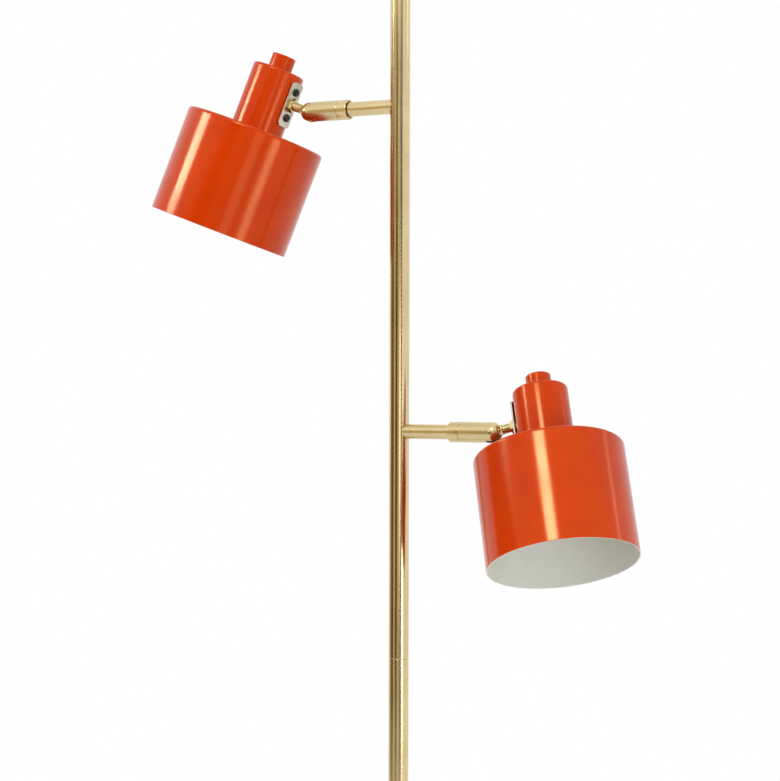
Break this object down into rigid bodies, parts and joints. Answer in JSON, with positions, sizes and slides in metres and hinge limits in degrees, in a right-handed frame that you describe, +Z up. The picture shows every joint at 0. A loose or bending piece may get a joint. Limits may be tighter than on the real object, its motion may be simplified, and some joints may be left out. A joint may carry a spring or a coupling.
{
  "type": "tension pole lamp",
  "caption": "Slim sprung pole lamp wedged between floor and ceiling, with drum shades on short arms that swivel and tilt on either side.",
  "frame": {"origin": "centre of the floor pad's underside, on the pole's axis", "axes": "+Z up along the pole, +X along the lower arm, -X along the upper arm"},
  "size_m": [0.5348, 0.1811, 2.501],
  "materials": {
    "satin_brass": "satin, lacquered",
    "orange_enamel": "gloss enamel, white inside the drum",
    "plated_steel": "passivated zinc",
    "black_steel": "black oxide",
    "spring_steel": "drawn wire",
    "grey_rubber": "matt",
    "black_plastic": "moulded",
    "nickel_brass": "bright"
  },
  "bodies": {
    "pole": {"floor_pad": "grey_rubber", "foot_cup": "satin_brass", "foot_plug": "plated_steel", "pole_bottom_tube": "satin_brass", "cord_bush": "black_plastic", "pole_lower_spigot": "satin_brass", "pole_middle_tube": "satin_brass", "pole_upper_spigot": "satin_brass", "pole_top_tube": "satin_brass", "spring_seat": "satin_brass", "tension_spring": "spring_steel", "guide_bush": "black_plastic", "lower_arm_tube": "satin_brass", "lower_arm_stud": "satin_brass", "lower_saddle_nut": "satin_brass", "lower_knuckle_collar": "satin_brass", "upper_arm_tube": "satin_brass", "upper_arm_stud": "satin_brass", "upper_saddle_nut": "satin_brass", "upper_knuckle_collar": "satin_brass"},
    "ceiling_plunger": {"plunger_stop": "satin_brass", "plunger_tube": "satin_brass", "ceiling_cup": "satin_brass", "ceiling_pad": "grey_rubber"},
    "lower_swivel": {"lower_swivel_screw": "satin_brass", "lower_knuckle_body": "satin_brass", "lower_pivot_pin": "satin_brass"},
    "lower_head": {"lower_pivot_tongue": "plated_steel", "lower_stub_nuts": "plated_steel", "lower_bracket_plate": "plated_steel", "lower_bracket_screws": "black_steel", "lower_bracket_nuts": "plated_steel", "lower_neck_cup": "orange_enamel", "lower_shade_drum": "orange_enamel", "lower_lampholder_body": "black_plastic", "lower_shade_ring": "black_plastic", "lower_socket_shell": "nickel_brass", "lower_contact_strip": "nickel_brass", "lower_switch_body": "black_plastic", "lower_switch_nut": "plated_steel"},
    "lower_knob": {"lower_switch_knob": "orange_enamel", "lower_knob_spindle": "plated_steel"},
    "upper_swivel": {"upper_swivel_screw": "satin_brass", "upper_knuckle_body": "satin_brass", "upper_pivot_pin": "satin_brass"},
    "upper_head": {"upper_pivot_tongue": "plated_steel", "upper_stub_nuts": "plated_steel", "upper_bracket_plate": "plated_steel", "upper_bracket_screws": "black_steel", "upper_bracket_nuts": "plated_steel", "upper_neck_cup": "orange_enamel", "upper_shade_drum": "orange_enamel", "upper_lampholder_body": "black_plastic", "upper_shade_ring": "black_plastic", "upper_socket_shell": "nickel_brass", "upper_contact_strip": "nickel_brass", "upper_switch_body": "black_plastic", "upper_switch_nut": "plated_steel"},
    "upper_knob": {"upper_switch_knob": "orange_enamel", "upper_knob_spindle": "plated_steel"}
  },
  "joints": [
    {"name": "ceiling_plunger_slide", "type": "slide", "parent": "pole", "child": "ceiling_plunger", "axis": [0, 0, 1], "range_m": [-0.08, 0], "stiffness_N_per_m": 1500, "springref_m": 0.04, "deforming": ["tension_spring"]},
    {"name": "lower_arm_swivel", "type": "hinge", "parent": "pole", "child": "lower_swivel", "pos_m": [0.068, 0, 1.0766], "axis": [1, 0, 0], "range_deg": [-141.3, 178.7]},
    {"name": "lower_head_tilt", "type": "hinge", "parent": "lower_swivel", "child": "lower_head", "pos_m": [0.1018, 0, 1.0766], "axis": [0, -0.9472, 0.3206], "range_deg": [-40.3, 74.7]},
    {"name": "lower_switch_turn", "type": "hinge", "parent": "lower_head", "child": "lower_knob", "pos_m": [0.14565, 0.01398, 1.11791], "axis": [-0.2639, 0.3092, 0.9136], "continuous": true},
    {"name": "upper_arm_swivel", "type": "hinge", "parent": "pole", "child": "upper_swivel", "pos_m": [-0.068, 0, 1.4018], "axis": [-1, 0, 0], "range_deg": [-167, 153]},
    {"name": "upper_head_tilt", "type": "hinge", "parent": "upper_swivel", "child": "upper_head", "pos_m": [-0.1018, 0, 1.4018], "axis": [0, 0.9925, -0.1219], "range_deg": [-44.9, 70.1]},
    {"name": "upper_switch_turn", "type": "hinge", "parent": "upper_head", "child": "upper_knob", "pos_m": [-0.14201, 0.00573, 1.44844], "axis": [0.3404, 0.1146, 0.9333], "continuous": true}
  ]
}
